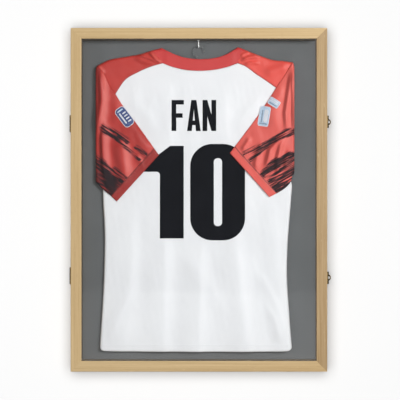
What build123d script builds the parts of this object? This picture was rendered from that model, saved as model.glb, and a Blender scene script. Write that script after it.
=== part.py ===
from build123d import *
import os
from math import atan2, degrees, radians, sin, sqrt

# A hinged wall display frame for a sports jersey: a mitred oak box, a glazed oak door hung on
# two butt hinges, two hasp latches, and a jersey hanging inside from a cup hook.
# X runs to the right, the front faces -Y, Z is up. The origin is the centre of the rear face,
# which lies against the wall in the plane Y = 0. All sizes are in millimetres.

# Outer frame
FRAME_WIDTH = 600.0
FRAME_HEIGHT = 804.0
RAIL_FACE = 25.0
BOX_DEPTH = 30.0
DOOR_DEPTH = 15.0
EDGE_ROUND = 1.2
MITRE_REACH = 45.0

# Door glazing and its beads
DOOR_LIP = 6.0
DOOR_RABBET = 8.0
GLAZING_THICKNESS = 2.0
BEAD_SHOW = 2.0
BEAD_SETBACK = 0.5
FIT_GAP = 0.5

# Back of the box
BACK_RABBET = 10.0
BACK_THICKNESS = 4.0
CARD_THICKNESS = 2.0
FELT_THICKNESS = 1.5

# Hinges on the left side
HINGE_HEIGHT = 38.0
HINGE_SPACING = 357.0
BARREL_R = 1.9
HINGE_PIN_R = 0.9
LEAF_THICKNESS = 1.0
LEAF_REACH = 12.0
KNUCKLES = 5
KNUCKLE_GAP = 0.3
RUNNING_GAP = 0.05

# Hasp latches on the right side
LATCH_HEIGHT = 29.0
LATCH_SPACING = 366.0
HASP_AXIS_BEHIND_SEAM = -3.2
HASP_BARREL_R = 2.3
HASP_PIN_R = 0.9
HASP_PLATE_THICKNESS = 1.2
HASP_HALF_HEIGHT = 11.2
HASP_REACH = 20.7
STAPLE_FROM_SEAM = 10.0
STAPLE_THICKNESS = 2.2
STAPLE_R = 8.0
STAPLE_HEIGHT = 10.5
STAPLE_HOLE_R = 3.0
SLOT_FROM_AXIS = (11.8, 16.9)
SLOT_HALF_HEIGHT = 8.6

# Hanging plates let into the back of the side rails
KEYHOLE_Z = 340.0
KEYHOLE_ENTRY_R = 4.5
KEYHOLE_SLOT_R = 2.2
KEYHOLE_RISE = 12.0
HANGING_PLATE = (13.0, 1.5, 44.0)

# Cup hook and hanger
HOOK_X = -1.0
HOOK_Z = 362.3
HANGER_Y = -14.0
HANGER_THICKNESS = 3.6
HANGER_WIDTH = 12.0
HANGER_ROD_R = 1.5
HANGER_RING_R = 13.5
CUP_HOOK_R = 1.3
HOOK_CLEARANCE = 0.3
HOOK_SCREW_R = 1.1
HOOK_SCREW_LENGTH = 12.0

# Jersey, folded flat over the hanger
FRONT_PANEL_Y = (-8.5, -11.0)
BACK_PANEL_Y = (-16.5, -19.0)
COLLAR_Y = (-16.1, -19.4)
PRINT_Y = (-19.05, -19.55)
SLEEVE_Y = (-19.8, -25.5)
BADGE_Y = (-25.6, -26.1)
NAME_LEFT = -64.5
NAME_FOOT = 162.0
LETTER_HEIGHT = 73.0
LETTER_WIDTH = 32.0
LETTER_STEM = 11.0
LETTER_ARM = 10.5
LETTER_GAP = 4.5

# Screw sizes: shank radius, head radius, head height, length
LEAF_SCREW = (1.2, 2.2, 1.0, 10.0)
BACK_SCREW = (1.3, 2.6, 1.3, 14.0)
PLATE_SCREW = (1.5, 2.8, 1.3, 12.0)

HALF_W = FRAME_WIDTH / 2
HALF_H = FRAME_HEIGHT / 2
SEAM_Y = -BOX_DEPTH
FRONT_Y = SEAM_Y - DOOR_DEPTH
GLAZING_FRONT_Y = FRONT_Y + DOOR_LIP
GLAZING_BACK_Y = GLAZING_FRONT_Y + GLAZING_THICKNESS
SIGHT_W = FRAME_WIDTH - 2 * RAIL_FACE
SIGHT_H = FRAME_HEIGHT - 2 * RAIL_FACE
HINGE_AXIS_X = -HALF_W - BARREL_R
HASP_AXIS_X = HALF_W + HASP_BARREL_R
HASP_AXIS_Y = SEAM_Y + HASP_AXIS_BEHIND_SEAM
STAPLE_Y = SEAM_Y + STAPLE_FROM_SEAM

parts = {}


def block(x, y, z):
    """A box between two limits along each axis."""
    centre = Pos((x[0] + x[1]) / 2, (y[0] + y[1]) / 2, (z[0] + z[1]) / 2)
    return centre * Box(abs(x[1] - x[0]), abs(y[1] - y[0]), abs(z[1] - z[0]))


def upright(face, y):
    """A flat face drawn in X and Z, made solid between two depths."""
    rear, front = max(y), min(y)
    return extrude(Plane.XZ.offset(-rear) * face, amount=rear - front)


def rod(start, end, radius):
    """A round bar between two points."""
    a, b = Vector(*start), Vector(*end)
    return extrude(Plane(origin=a, z_dir=(b - a)) * Circle(radius), amount=(b - a).length)


def ring(width, height, inner_width, inner_height, y):
    """A rectangular ring standing in the X-Z plane."""
    return upright(Rectangle(width, height) - Rectangle(inner_width, inner_height), y)


def mitred(frame_ring):
    """The four rails of a ring, cut apart along the corner mitres."""
    reach_w, reach_h = HALF_W - MITRE_REACH, HALF_H - MITRE_REACH
    corners = [(-HALF_W, HALF_H), (HALF_W, HALF_H), (HALF_W, -HALF_H), (-HALF_W, -HALF_H)]
    inner = [(-reach_w, reach_h), (reach_w, reach_h), (reach_w, -reach_h), (-reach_w, -reach_h)]
    rails = {}
    for i, side in enumerate(("top", "right", "bottom", "left")):
        j = (i + 1) % 4
        wedge = make_face(Polyline(corners[i], corners[j], inner[j], inner[i], close=True))
        rails[side] = frame_ring & upright(wedge, (1.0, FRONT_Y - 1.0))
    return rails


def screw(size, recess=True):
    """A countersunk screw, its head's flat top at the origin and its point down -Z."""
    shank_r, head_r, head_h, length = size
    body = Pos(0, 0, -head_h / 2) * Cone(shank_r, head_r, head_h)
    body += Pos(0, 0, -length / 2) * Cylinder(shank_r, length)
    if recess:
        for turn in (0, 90):
            body -= Rot(0, 0, turn) * Pos(0, 0, -head_h * 0.3) * Box(head_r * 1.3, 0.5, head_h * 0.6)
    return body


def place_screws(size, places, outward):
    """Screws at each place with their heads facing outward, and the holes they sit in."""
    seats = [Plane(origin=place, z_dir=outward).location for place in places]
    screws = Compound([seat * screw(size) for seat in seats])
    holes = [seat * screw(size, recess=False) for seat in seats]
    return screws, holes


def minus(shape, cutters):
    """A shape with each cutter taken out of it."""
    for cutter in cutters:
        shape = shape - cutter
    return shape


def corner_nails(half_w, half_h, y):
    """Bent steel strips driven across the mitres from behind, one at each corner."""
    leg, strip = 5.0, 0.7
    nails = []
    for sx, sz in ((-1, 1), (1, 1), (1, -1), (-1, -1)):
        along = Pos(sx * half_w, sz * half_h) * Rot(0, 0, degrees(atan2(sz, sx)))
        bent = Rot(0, 0, 60) * Pos(leg / 2, 0) * Rectangle(leg, strip)
        bent += Rot(0, 0, -60) * Pos(leg / 2, 0) * Rectangle(leg, strip)
        nails.append(upright(along * bent, y))
    return nails


def hinge_leaf(z, toward, spans, bore_r, holes):
    """One leaf of a butt hinge: a plate on the rail's side, rolled round the pin at its knuckles."""
    low = z - HINGE_HEIGHT / 2
    step = HINGE_HEIGHT / KNUCKLES
    clear = BARREL_R + KNUCKLE_GAP
    x = (-HALF_W - LEAF_THICKNESS, -HALF_W)
    leaf = block(x, (SEAM_Y + toward * clear, SEAM_Y + toward * LEAF_REACH), (low, low + HINGE_HEIGHT))
    for i in spans:
        foot = low + i * step + (KNUCKLE_GAP / 2 if i else 0)
        top = low + (i + 1) * step - (KNUCKLE_GAP / 2 if i < KNUCKLES - 1 else 0)
        leaf += rod((HINGE_AXIS_X, SEAM_Y, foot), (HINGE_AXIS_X, SEAM_Y, top), BARREL_R)
        leaf += block(x, (SEAM_Y + toward * 0.6, SEAM_Y + toward * (clear + 0.1)), (foot, top))
    leaf -= rod((HINGE_AXIS_X, SEAM_Y, low - 1), (HINGE_AXIS_X, SEAM_Y, low + HINGE_HEIGHT + 1), bore_r)
    return minus(leaf, holes)


def hinges():
    """Two butt hinges. Returns the screw holes that the box and the door need."""
    box_side, door_side = [], []
    for z in (HINGE_SPACING / 2, -HINGE_SPACING / 2):
        for dz in (-11.0, 11.0):
            box_side.append((-HALF_W - LEAF_THICKNESS, SEAM_Y + 7.5, z + dz))
            door_side.append((-HALF_W - LEAF_THICKNESS, SEAM_Y - 7.5, z + dz))
    parts["hinge_box_screws"], box_holes = place_screws(LEAF_SCREW, box_side, (-1, 0, 0))
    parts["hinge_door_screws"], door_holes = place_screws(LEAF_SCREW, door_side, (-1, 0, 0))
    for name, z in (("upper", HINGE_SPACING / 2), ("lower", -HINGE_SPACING / 2)):
        box_leaf = hinge_leaf(z, 1, (0, 2, 4), HINGE_PIN_R, box_holes)
        door_leaf = hinge_leaf(z, -1, (1, 3), HINGE_PIN_R + RUNNING_GAP, door_holes)
        foot, top = z - HINGE_HEIGHT / 2, z + HINGE_HEIGHT / 2
        pin = rod((HINGE_AXIS_X, SEAM_Y, foot), (HINGE_AXIS_X, SEAM_Y, top), HINGE_PIN_R)
        for end in (foot, top):
            pin += Pos(HINGE_AXIS_X, SEAM_Y, end) * Sphere(1.4) - block(
                (HINGE_AXIS_X - 2, HINGE_AXIS_X + 2), (SEAM_Y - 2, SEAM_Y + 2), (foot, top)
            )
        parts[f"hinge_{name}_box_leaf"] = box_leaf
        parts[f"hinge_{name}_door_leaf"] = door_leaf
        parts[f"hinge_{name}_pin"] = pin
    return box_holes, door_holes


def hasp_knuckles(z, spans):
    """Lengths of rolled barrel on the hasp's axis, mirrored above and below its middle."""
    barrel = []
    for low, high in spans:
        for sign in (1, -1):
            foot, top = sorted((z + sign * low, z + sign * high))
            axis = (HASP_AXIS_X, HASP_AXIS_Y)
            barrel.append(rod((*axis, foot), (*axis, top), HASP_BARREL_R))
    return barrel


def hasp_leaf(z, holes):
    """The fixed leaf on the door's side, with a knuckle at each end."""
    half = LATCH_HEIGHT / 2
    clear = HASP_BARREL_R + KNUCKLE_GAP
    x = (HALF_W, HALF_W + LEAF_THICKNESS)
    leaf = block(x, (FRONT_Y + 1.0, HASP_AXIS_Y - clear), (z - half, z + half))
    leaf += hasp_knuckles(z, [(9.3, half)])
    for sign in (1, -1):
        leaf += block(x, (HASP_AXIS_Y - clear - 0.1, HASP_AXIS_Y), (z + sign * 9.3, z + sign * half))
    leaf -= rod((HASP_AXIS_X, HASP_AXIS_Y, z - 20), (HASP_AXIS_X, HASP_AXIS_Y, z + 20), HASP_PIN_R)
    upright_edges = leaf.edges().filter_by(Axis.X).group_by(Axis.Y)[0]
    return minus(fillet(upright_edges, 2.5), holes)


def hasp(z):
    """The swinging hasp: a slotted plate that drops over the staple, with a turned-out finger lip."""
    clear = HASP_BARREL_R + KNUCKLE_GAP
    x = (HASP_AXIS_X - 0.9, HASP_AXIS_X - 0.9 + HASP_PLATE_THICKNESS)
    tip_y = HASP_AXIS_Y + HASP_REACH
    plate = block(x, (HASP_AXIS_Y + clear, tip_y), (z - HASP_HALF_HEIGHT, z + HASP_HALF_HEIGHT))
    plate = fillet(plate.edges().filter_by(Axis.X).group_by(Axis.Y)[-1], 5.0)
    plate += hasp_knuckles(z, [(3.5, 9.0)])
    for sign in (1, -1):
        plate += block(x, (HASP_AXIS_Y + 1.2, HASP_AXIS_Y + clear + 0.1), (z + sign * 3.5, z + sign * 9.0))
    plate += block((x[0], x[1] + 1.0), (tip_y - 1.2, tip_y), (z - 5.0, z + 5.0))
    plate -= block(
        (x[0] - 1, x[1] + 0.5),
        (HASP_AXIS_Y + SLOT_FROM_AXIS[0], HASP_AXIS_Y + SLOT_FROM_AXIS[1]),
        (z - SLOT_HALF_HEIGHT, z + SLOT_HALF_HEIGHT),
    )
    pin_bore = HASP_PIN_R + RUNNING_GAP
    return plate - rod((HASP_AXIS_X, HASP_AXIS_Y, z - 20), (HASP_AXIS_X, HASP_AXIS_Y, z + 20), pin_bore)


def catch_plate(z, holes):
    """The plate on the box's side that carries the staple."""
    x = (HALF_W, HALF_W + LEAF_THICKNESS)
    plate = block(x, (STAPLE_Y - 7.0, STAPLE_Y + 13.5), (z - HASP_HALF_HEIGHT, z + HASP_HALF_HEIGHT))
    plate = fillet(plate.edges().filter_by(Axis.X).group_by(Axis.Y)[-1], 4.0)
    half = STAPLE_THICKNESS / 2
    plate -= block((x[0] - 1, x[1] + 1), (STAPLE_Y - half, STAPLE_Y + half), (z - 4, z + 4))
    return minus(plate, holes)


def staple(z):
    """A stamped lug with a round eye, its tenon riveted through the catch plate."""
    y = (STAPLE_Y - STAPLE_THICKNESS / 2, STAPLE_Y + STAPLE_THICKNESS / 2)
    foot_x = HALF_W + LEAF_THICKNESS
    centre_x = HALF_W + STAPLE_HEIGHT - STAPLE_R
    face = Pos(centre_x, z) * Circle(STAPLE_R)
    face += Pos((foot_x + centre_x) / 2, z) * Rectangle(centre_x - foot_x, 2 * STAPLE_R)
    face &= Pos(foot_x + STAPLE_HEIGHT / 2, z) * Rectangle(STAPLE_HEIGHT, 2 * STAPLE_R + 1)
    face += Pos((HALF_W + foot_x) / 2, z) * Rectangle(LEAF_THICKNESS, 8.0)
    face -= Pos(HALF_W + STAPLE_HEIGHT - STAPLE_R + STAPLE_HOLE_R, z) * Circle(STAPLE_HOLE_R)
    return upright(face, y)


def latches():
    """Two hasp latches. Returns the screw holes that the box and the door need."""
    places_door, places_box = [], []
    for z in (LATCH_SPACING / 2, -LATCH_SPACING / 2):
        places_door += [(HALF_W + LEAF_THICKNESS, SEAM_Y - 10.0, z + dz) for dz in (-9.5, 9.5)]
        places_box += [(HALF_W + LEAF_THICKNESS, STAPLE_Y + 10.3, z + dz) for dz in (-6.5, 6.5)]
    parts["hasp_leaf_screws"], door_holes = place_screws(LEAF_SCREW, places_door, (1, 0, 0))
    parts["catch_plate_screws"], box_holes = place_screws(LEAF_SCREW, places_box, (1, 0, 0))
    for name, z in (("upper", LATCH_SPACING / 2), ("lower", -LATCH_SPACING / 2)):
        half = LATCH_HEIGHT / 2
        parts[f"hasp_{name}_leaf"] = hasp_leaf(z, door_holes)
        parts[f"hasp_{name}"] = hasp(z)
        parts[f"hasp_{name}_pin"] = rod(
            (HASP_AXIS_X, HASP_AXIS_Y, z - half), (HASP_AXIS_X, HASP_AXIS_Y, z + half), HASP_PIN_R
        )
        parts[f"catch_plate_{name}"] = catch_plate(z, box_holes)
        parts[f"staple_{name}"] = staple(z)
    return box_holes, door_holes


def hanging_plates():
    """Keyhole plates let in flush at the back of the side rails. Returns what they cut from the wood."""
    width, thick, height = HANGING_PLATE
    strip_x = HALF_W - (RAIL_FACE - BACK_RABBET) / 2
    centre_z = KEYHOLE_Z + KEYHOLE_RISE / 2
    places = [(sx * strip_x, 0.0, centre_z + dz) for sx in (-1, 1) for dz in (-17.5, 17.5)]
    parts["hanging_plate_screws"], holes = place_screws(PLATE_SCREW, places, (0, 1, 0))
    cuts = list(holes)
    for name, sx in (("left", -1), ("right", 1)):
        x = sx * strip_x
        outline = Pos(x, centre_z) * RectangleRounded(width, height, 4.0)
        keyhole = Pos(x, KEYHOLE_Z) * Circle(KEYHOLE_ENTRY_R)
        keyhole += Pos(x, KEYHOLE_Z + KEYHOLE_RISE / 2) * Rectangle(2 * KEYHOLE_SLOT_R, KEYHOLE_RISE)
        keyhole += Pos(x, KEYHOLE_Z + KEYHOLE_RISE) * Circle(KEYHOLE_SLOT_R)
        parts[f"hanging_plate_{name}"] = minus(upright(outline - keyhole, (0.0, -thick)), holes)
        pocket = Pos(x, centre_z) * RectangleRounded(11.0, 25.0, 4.0)
        cuts.append(upright(outline, (0.5, -thick)))
        cuts.append(upright(pocket, (0.0, -thick - 8.0)))
    return cuts


def wall_box(side_cuts):
    """The mitred oak box, its back panel, lining card and felt."""
    opening_w = SIGHT_W + 2 * BACK_RABBET
    opening_h = SIGHT_H + 2 * BACK_RABBET
    body = ring(FRAME_WIDTH, FRAME_HEIGHT, SIGHT_W, SIGHT_H, (SEAM_Y, 0.0))
    body -= upright(Rectangle(opening_w, opening_h), (0.5, -BACK_THICKNESS))
    body = fillet(body.edges().filter_by(Axis.Y).group_by(SortBy.DISTANCE)[-1], EDGE_ROUND)
    strip = (RAIL_FACE - BACK_RABBET) / 2
    nails = corner_nails(HALF_W - strip, HALF_H - strip, (0.0, -7.0))
    parts["box_corner_nails"] = Compound(nails)

    screw_x = SIGHT_W / 2 + BACK_RABBET / 2 - FIT_GAP
    screw_z = SIGHT_H / 2 + BACK_RABBET / 2 - FIT_GAP
    places = [(sx * screw_x, 0.0, z) for sx in (-1, 1) for z in (-330, -110, 110, 300)]
    places += [(x, 0.0, sz * screw_z) for sz in (-1, 1) for x in (-150, 150)]
    parts["back_panel_screws"], back_holes = place_screws(BACK_SCREW, places, (0, 1, 0))

    y = hook_shank_y()
    hook_hole = rod((HOOK_X, y, SIGHT_H / 2), (HOOK_X, y, SIGHT_H / 2 + HOOK_SCREW_LENGTH), HOOK_SCREW_R)
    body = minus(body, nails + back_holes + side_cuts + [hook_hole])
    for side, rail in mitred(body).items():
        parts[f"box_rail_{side}"] = rail

    panel = upright(Rectangle(opening_w - 2 * FIT_GAP, opening_h - 2 * FIT_GAP), (0.0, -BACK_THICKNESS))
    parts["back_panel"] = minus(panel, back_holes)
    lining = Rectangle(SIGHT_W - 2 * FIT_GAP, SIGHT_H - 2 * FIT_GAP)
    card_y = -BACK_THICKNESS - CARD_THICKNESS
    parts["lining_card"] = upright(lining, (-BACK_THICKNESS, card_y))
    parts["felt_lining"] = upright(lining, (card_y, card_y - FELT_THICKNESS))


def door(side_cuts):
    """The mitred oak door frame, the clear sheet and the beads that hold it."""
    rabbet_w, rabbet_h = SIGHT_W + 2 * DOOR_RABBET, SIGHT_H + 2 * DOOR_RABBET
    body = ring(FRAME_WIDTH, FRAME_HEIGHT, SIGHT_W, SIGHT_H, (FRONT_Y, SEAM_Y))
    body = fillet(body.edges().filter_by(Axis.Y).group_by(SortBy.DISTANCE)[-1], EDGE_ROUND)
    front_edges = body.faces().sort_by(Axis.Y)[0].edges()
    body = fillet(front_edges, EDGE_ROUND)
    body -= upright(Rectangle(rabbet_w, rabbet_h), (SEAM_Y + 0.5, GLAZING_FRONT_Y))
    strip = (RAIL_FACE - DOOR_RABBET) / 2
    nails = corner_nails(HALF_W - strip, HALF_H - strip, (SEAM_Y, SEAM_Y - 7.0))
    parts["door_corner_nails"] = Compound(nails)
    body = minus(body, nails + side_cuts)
    for side, rail in mitred(body).items():
        parts[f"door_rail_{side}"] = rail

    sheet = Rectangle(rabbet_w - 2 * FIT_GAP, rabbet_h - 2 * FIT_GAP)
    parts["glazing"] = upright(sheet, (GLAZING_FRONT_Y, GLAZING_BACK_Y))
    beads = ring(
        rabbet_w, rabbet_h, SIGHT_W - 2 * BEAD_SHOW, SIGHT_H - 2 * BEAD_SHOW,
        (GLAZING_BACK_Y, SEAM_Y - BEAD_SETBACK),
    )
    for side, bead in mitred(beads).items():
        parts[f"glazing_bead_{side}"] = bead


def hook_shank_y():
    """How far back the cup hook's shank stands, so that its bend holds the hanger's rod."""
    return HANGER_Y + HANGER_ROD_R + HOOK_CLEARANCE + CUP_HOOK_R


def cup_hook():
    """An enamelled cup hook screwed up into the top rail."""
    y = hook_shank_y()
    bend_r = y - HANGER_Y
    rail_z = SIGHT_H / 2
    front_y = HANGER_Y - bend_r
    shank_foot, tip_foot = (HOOK_X, y, HOOK_Z), (HOOK_X, front_y, HOOK_Z)
    path = Line((HOOK_X, y, rail_z), shank_foot)
    path += ThreePointArc(shank_foot, (HOOK_X, HANGER_Y, HOOK_Z - bend_r), tip_foot)
    path += Line(tip_foot, (HOOK_X, front_y, HOOK_Z + 1.5))
    wire = sweep(Plane(origin=(HOOK_X, y, rail_z), z_dir=(0, 0, -1)) * Circle(CUP_HOOK_R), path=path)
    wire += Pos(HOOK_X, front_y, HOOK_Z + 1.5) * Sphere(CUP_HOOK_R)
    wire += Pos(HOOK_X, y, rail_z - 0.6) * Cylinder(3.2, 1.2)
    return wire + rod((HOOK_X, y, rail_z), (HOOK_X, y, rail_z + HOOK_SCREW_LENGTH), HOOK_SCREW_R)


def hanger():
    """A clear hanger cut from sheet, and the bent rod that it hangs by."""
    arms = None
    for side in (-1, 1):
        end_x = HOOK_X + side * 204
        arm = trace(ThreePointArc((HOOK_X, 317), (HOOK_X + side * 108, 333), (end_x, 312)), HANGER_WIDTH)
        arm += Pos(end_x, 312) * Circle(HANGER_WIDTH / 2)
        arms = arm if arms is None else arms + arm
    arms += Pos(HOOK_X, 318) * RectangleRounded(26.0, 16.0, 4.0)
    half = HANGER_THICKNESS / 2
    plate = upright(arms, (HANGER_Y + half, HANGER_Y - half))

    top = HOOK_Z - HANGER_RING_R
    stem_foot = (HOOK_X, HANGER_Y, 317.0)
    stem_head = (HOOK_X, HANGER_Y, 327.0)
    bend_x = HANGER_RING_R * sin(radians(50))
    bend = (HOOK_X - bend_x, HANGER_Y, top - sqrt(HANGER_RING_R**2 - bend_x**2))
    tip_x = HANGER_RING_R * sin(radians(100))
    tip = (HOOK_X + tip_x, HANGER_Y, top - sqrt(HANGER_RING_R**2 - tip_x**2))
    ring_arc = ThreePointArc(bend, (HOOK_X, HANGER_Y, HOOK_Z), tip)
    joining = Line(stem_foot, stem_head) + TangentArc(stem_head, bend, tangent=(0, 0, 1))
    path = joining + ring_arc
    section = Plane(origin=stem_foot, z_dir=(0, 0, 1)) * Circle(HANGER_ROD_R)
    wire = sweep(section, path=path, transition=Transition.ROUND)
    wire += Pos(*tip) * Sphere(HANGER_ROD_R)
    parts["hanger_hook"] = wire
    parts["hanger"] = plate - wire


def torso(neck_dip):
    """Outline of one body panel of the jersey, with an arc for the neck."""
    left = [(-90, 350), (-200, 328), (-214, 300), (-212, 200), (-226, 60), (-222, -90), (-225, -210)]
    left += [(-233, -346)]
    right = [(219, -346), (207, -179), (209, -106), (218, 0), (204, 200), (206, 300), (192, 326), (94, 352)]
    edge = Polyline(*left) + ThreePointArc((-233, -346), (-7, -360), (219, -346)) + Polyline(*right)
    return make_face(edge + ThreePointArc((94, 352), (2, neck_dip), (-90, 350)))


def collar_band():
    """The ribbed band between the neck's outer and inner arcs."""
    upper = ThreePointArc((-88, 358), (2, 331), (92, 360))
    lower = ThreePointArc((92, 353), (2, 304.5), (-88, 351))
    return make_face(upper + Line((92, 360), (92, 353)) + lower + Line((-88, 351), (-88, 358)))


def sleeve_outline(side):
    """A sleeve laid down from the shoulder and folded in across the chest."""
    left = [(-90, 358), (-168, 338), (-241, 316), (-243, 38), (-194, -4), (-94, 105), (-150, 182)]
    left += [(-197, 249), (-181, 280), (-144, 301), (-90, 321)]
    right = [(94, 360), (170, 331), (225, 323), (225, 58), (166, 6), (73, 110), (134, 191), (182, 264)]
    right += [(134, 297), (94, 321)]
    return make_face(Polyline(*(left if side < 0 else right), close=True))


def numeral_one():
    """A block numeral one: a stem and a short flag."""
    inner_r = 8
    stem_left, flag_foot = -92, 66
    corner = RadiusArc((stem_left - inner_r, flag_foot), (stem_left, flag_foot - inner_r), inner_r)
    low = Polyline((stem_left, flag_foot - inner_r), (stem_left, -91), (-36, -91), (-36, 127), (-68, 127))
    flag = Polyline((-68, 127), (-135, 77), (-135, flag_foot), (stem_left - inner_r, flag_foot))
    return make_face(corner + low + flag)


def numeral_zero():
    """A block numeral zero: a stadium with a narrow slot."""
    outer = Pos(44, 18) * RectangleRounded(129, 227, 52)
    return outer - Pos(44.7, 18) * RectangleRounded(19.6, 160, 9)


def name_letters():
    """A generic three-letter word in block capitals, each letter from straight strokes."""
    low, high = NAME_FOOT, NAME_FOOT + LETTER_HEIGHT
    mid = (low + high) / 2
    stem, arm, wide = LETTER_STEM, LETTER_ARM, LETTER_WIDTH

    def bar(x0, x1, z0, z1):
        return Pos((x0 + x1) / 2, (z0 + z1) / 2) * Rectangle(x1 - x0, z1 - z0)

    def stroke(*corners):
        return make_face(Polyline(*corners, close=True))

    x = NAME_LEFT
    letter_f = bar(x, x + stem, low, high) + bar(x, x + wide - 3, high - arm, high)
    letter_f += bar(x, x + wide - 6, mid - arm / 2, mid + arm / 2)
    x += wide + LETTER_GAP
    peak = x + wide / 2
    letter_a = stroke((x, low), (peak - 6, high), (peak + 6, high), (x + wide, low), (x + wide - stem, low),
                      (peak, high - 22), (x + stem, low))
    letter_a += bar(x + 6, x + wide - 6, low + 14, low + 14 + arm)
    x += wide + LETTER_GAP
    right = x + wide
    letter_n = bar(x, x + stem, low, high) + bar(right - stem, right, low, high)
    letter_n += stroke((x, high), (x + stem, high), (right, low), (right - stem, low))
    return [letter_f, letter_a, letter_n]


def jersey():
    """Plain solids for the jersey's cloth pieces, its printed film and its sleeve patches."""
    parts["jersey_front_panel"] = upright(torso(270), FRONT_PANEL_Y)
    parts["jersey_back_panel"] = upright(torso(304), BACK_PANEL_Y)
    parts["jersey_collar"] = upright(collar_band(), COLLAR_Y)
    parts["jersey_sleeve_left"] = upright(sleeve_outline(-1), SLEEVE_Y)
    parts["jersey_sleeve_right"] = upright(sleeve_outline(1), SLEEVE_Y)
    parts["number_print"] = Compound([upright(face, PRINT_Y) for face in (numeral_one(), numeral_zero())])
    parts["name_print"] = Compound([upright(face, PRINT_Y) for face in name_letters()])
    badge = Pos(-175, 195) * Rot(0, 0, 37) * RectangleRounded(25, 49, 8)
    flag = Pos(177, 229) * Rot(0, 0, -33) * RectangleRounded(26, 17, 2.5)
    shield = Pos(154, 197) * Rot(0, 0, -9) * RectangleRounded(24, 46, 4)
    parts["sleeve_patch_left"] = upright(badge, BADGE_Y)
    parts["sleeve_patch_right"] = Compound([upright(flag, BADGE_Y), upright(shield, BADGE_Y)])


box_hinge_holes, door_hinge_holes = hinges()
box_latch_holes, door_latch_holes = latches()
plate_cuts = hanging_plates()
wall_box(box_hinge_holes + box_latch_holes + plate_cuts)
door(door_hinge_holes + door_latch_holes)
parts["cup_hook"] = cup_hook()
hanger()
jersey()

os.makedirs("parts", exist_ok=True)
for node, shape in parts.items():
    export_step(shape, f"parts/{node}.step")
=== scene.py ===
import math

import bmesh
import bpy
import numpy as np
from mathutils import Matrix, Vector
from mathutils.bvhtree import BVHTree


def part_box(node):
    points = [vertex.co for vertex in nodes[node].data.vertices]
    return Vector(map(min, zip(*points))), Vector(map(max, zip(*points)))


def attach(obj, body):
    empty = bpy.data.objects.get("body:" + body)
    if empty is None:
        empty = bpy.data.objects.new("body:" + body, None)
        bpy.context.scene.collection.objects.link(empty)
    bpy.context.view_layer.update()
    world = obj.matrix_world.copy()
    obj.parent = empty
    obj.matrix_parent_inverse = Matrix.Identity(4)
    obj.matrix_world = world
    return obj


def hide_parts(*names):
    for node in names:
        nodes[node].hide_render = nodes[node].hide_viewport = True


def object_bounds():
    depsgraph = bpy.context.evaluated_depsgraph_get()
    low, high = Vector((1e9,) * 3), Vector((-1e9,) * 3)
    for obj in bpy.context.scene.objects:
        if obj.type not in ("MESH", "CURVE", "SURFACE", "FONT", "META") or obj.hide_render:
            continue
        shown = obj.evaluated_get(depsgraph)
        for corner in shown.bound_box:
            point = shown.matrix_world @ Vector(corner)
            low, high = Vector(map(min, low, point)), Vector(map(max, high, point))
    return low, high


# Looks of a hinged wall display frame for a sports jersey. The frame, its glazing and its hardware
# are the CAD nodes with procedural materials. The jersey's cloth, print, badges and stitching are
# modelled here, hung inside the box. Outlines and depths of the jersey are in millimetres in the
# part's own frame: X to the right, Z up, and depth out from the wall, so that y is minus the depth.

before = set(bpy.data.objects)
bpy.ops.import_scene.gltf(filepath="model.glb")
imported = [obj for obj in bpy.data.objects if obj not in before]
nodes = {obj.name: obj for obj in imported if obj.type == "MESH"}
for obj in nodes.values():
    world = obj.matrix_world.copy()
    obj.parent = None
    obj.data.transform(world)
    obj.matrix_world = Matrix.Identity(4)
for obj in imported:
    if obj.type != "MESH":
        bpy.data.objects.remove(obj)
cad_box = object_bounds()
MM = 0.001


# ---------------------------------------------------------------- lines and grids

def resampled(line, count):
    """count points, evenly spaced along a line of points."""
    steps = np.linalg.norm(np.diff(line, axis=0), axis=1)
    reached = np.concatenate([[0.0], np.cumsum(steps)])
    wanted = np.linspace(0.0, reached[-1], count)
    return np.stack([np.interp(wanted, reached, line[:, axis]) for axis in range(line.shape[1])], axis=1)


def smooth_line(points, count):
    """count points along a smooth line through a few given ones."""
    given = np.asarray(points, float)
    padded = np.vstack([2 * given[0] - given[1], given, 2 * given[-1] - given[-2]])
    t = np.linspace(0.0, 1.0, 24, endpoint=False)[:, None]
    spans = []
    for a, b, c, d in zip(padded, padded[1:], padded[2:], padded[3:]):
        cubic = 2 * b + (c - a) * t + (2 * a - 5 * b + 4 * c - d) * t**2 + (3 * b - a - 3 * c + d) * t**3
        spans.append(cubic / 2)
    return resampled(np.vstack([*spans, given[-1:]]), count)


def joined(stretches, counts):
    """Several smooth lines in a row, with a corner where each meets the next."""
    lines = [smooth_line(points, count + 1)[:-1] for points, count in zip(stretches, counts)]
    return np.vstack([*lines, np.asarray(stretches[-1][-1:], float)])


def between_edges(bottom, top, left, right):
    """x and z of a grid that fills four edges. Bottom and top run alike, and so do left and right."""
    u = np.linspace(0, 1, len(bottom))[None, :, None]
    v = np.linspace(0, 1, len(left))[:, None, None]
    across = (1 - u) * left[:, None] + u * right[:, None]
    upward = (1 - v) * bottom[None] + v * top[None]
    low_corners = (1 - u) * bottom[0] + u * bottom[-1]
    high_corners = (1 - u) * top[0] + u * top[-1]
    return across + upward - (1 - v) * low_corners - v * high_corners


def eased(t):
    """0 to 1, smoothly, as t goes from 0 to 1."""
    t = np.clip(t, 0.0, 1.0)
    return t * t * (3 - 2 * t)


def rounded(distance, radius):
    """A quarter circle's rise, from 0 at an edge to 1 at radius from it."""
    return np.sqrt(1 - (1 - np.clip(distance / radius, 0.0, 1.0)) ** 2)


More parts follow.
